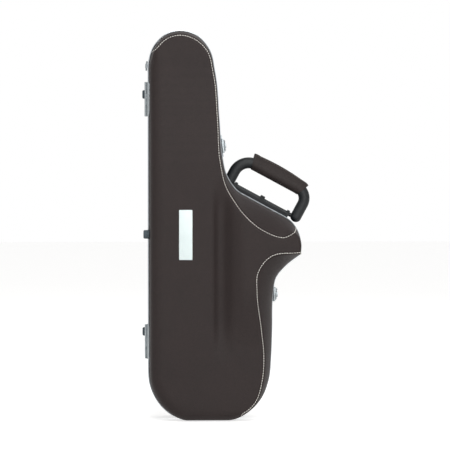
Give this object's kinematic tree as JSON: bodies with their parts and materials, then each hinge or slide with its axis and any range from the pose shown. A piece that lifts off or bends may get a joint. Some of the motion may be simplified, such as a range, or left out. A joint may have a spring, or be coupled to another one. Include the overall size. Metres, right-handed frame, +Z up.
{
  "type": "alto saxophone case",
  "caption": "Contoured hard case with a leather-grained lid hinged on one side, aluminium edge, draw latches, top handle and padded pockets.",
  "frame": {"origin": "middle of the flat heel that the closed case stands on, on the base's aluminium edge", "axes": "+Z up the case towards the neck end, +X to the bell side, +Y out of the back; the lid faces -Y and its hinge side faces -X"},
  "size_m": [0.2831, 0.1626, 0.66],
  "materials": {
    "leather": "grained, satin",
    "plush": "plush",
    "aluminium": "satin",
    "nickel": "nickel plated",
    "steel": "satin",
    "rubber": "matte",
    "black_plastic": "satin",
    "white_metal": "satin"
  },
  "bodies": {
    "base": {"base_shell": "leather", "base_valance": "aluminium", "base_liner": "plush", "neck_divider": "plush", "upper_hinge_base_leaf": "nickel", "upper_hinge_base_leaf_lower_rivet": "nickel", "upper_hinge_base_leaf_upper_rivet": "nickel", "upper_hinge_pin": "steel", "lower_hinge_base_leaf": "nickel", "lower_hinge_base_leaf_lower_rivet": "nickel", "lower_hinge_base_leaf_upper_rivet": "nickel", "lower_hinge_pin": "steel", "upper_base_foot": "rubber", "upper_base_foot_screw": "steel", "lower_base_foot": "rubber", "lower_base_foot_screw": "steel", "upper_latch_base": "nickel", "upper_latch_lever_pin": "steel", "lower_latch_base": "nickel", "lower_latch_lever_pin": "steel", "handle_bracket": "black_plastic", "handle_rod": "steel", "handle_clip": "black_plastic", "upper_strap_ring_plate": "nickel", "lower_strap_ring_plate": "nickel"},
    "lid": {"lid_shell": "leather", "lid_valance": "aluminium", "lid_liner": "plush", "name_plate": "white_metal", "upper_hinge_lid_leaf": "nickel", "upper_hinge_lid_leaf_lower_rivet": "nickel", "upper_hinge_lid_leaf_upper_rivet": "nickel", "lower_hinge_lid_leaf": "nickel", "lower_hinge_lid_leaf_lower_rivet": "nickel", "lower_hinge_lid_leaf_upper_rivet": "nickel", "lid_foot": "rubber", "lid_foot_screw": "steel", "upper_latch_keeper": "nickel", "lower_latch_keeper": "nickel"},
    "upper_lever": {"upper_latch_lever": "nickel", "upper_latch_claw_pin": "steel"},
    "upper_claw": {"upper_latch_claw": "nickel"},
    "lower_lever": {"lower_latch_lever": "nickel", "lower_latch_claw_pin": "steel"},
    "lower_claw": {"lower_latch_claw": "nickel"},
    "handle": {"handle_loop": "black_plastic", "handle_grip": "leather"},
    "upper_ring": {"upper_strap_ring": "nickel"},
    "lower_ring": {"lower_strap_ring": "nickel"}
  },
  "joints": [
    {"name": "lid_hinge", "type": "hinge", "parent": "base", "child": "lid", "pos_m": [-0.1013, -0.0045, 0.338], "axis": [0, 0, -1], "range_deg": [0, 110]},
    {"name": "upper_lever_pivot", "type": "hinge", "parent": "base", "child": "upper_lever", "pos_m": [0.0315, 0.0065, 0.46437], "axis": [0.0888, 0, -0.9961], "range_deg": [0, 120]},
    {"name": "upper_claw_pivot", "type": "hinge", "parent": "upper_lever", "child": "upper_claw", "pos_m": [0.0319, 0.0125, 0.46441], "axis": [0.0888, 0, -0.9961], "range_deg": [-120, 0]},
    {"name": "lower_lever_pivot", "type": "hinge", "parent": "base", "child": "lower_lever", "pos_m": [0.11962, 0.0065, 0.21158], "axis": [-0.0629, 0, -0.998], "range_deg": [0, 120]},
    {"name": "lower_claw_pivot", "type": "hinge", "parent": "lower_lever", "child": "lower_claw", "pos_m": [0.12002, 0.0125, 0.21156], "axis": [-0.0629, 0, -0.998], "range_deg": [-120, 0]},
    {"name": "handle_swing", "type": "hinge", "parent": "base", "child": "handle", "pos_m": [0.09652, 0.0199, 0.37279], "axis": [0.8804, 0, -0.4743], "range_deg": [-70, 40]},
    {"name": "upper_ring_swing", "type": "hinge", "parent": "base", "child": "upper_ring", "pos_m": [-0.09975, 0.0125, 0.60011], "axis": [0.0739, 0, 0.9973], "range_deg": [0, 150]},
    {"name": "lower_ring_swing", "type": "hinge", "parent": "base", "child": "lower_ring", "pos_m": [-0.03315, 0.0774, 0.10032], "axis": [1, 0, 0], "range_deg": [0, 170]}
  ],
  "couplings": [
    {"joint": "upper_claw_pivot", "follows": "upper_lever_pivot", "ratio": -1},
    {"joint": "lower_claw_pivot", "follows": "lower_lever_pivot", "ratio": -1}
  ]
}
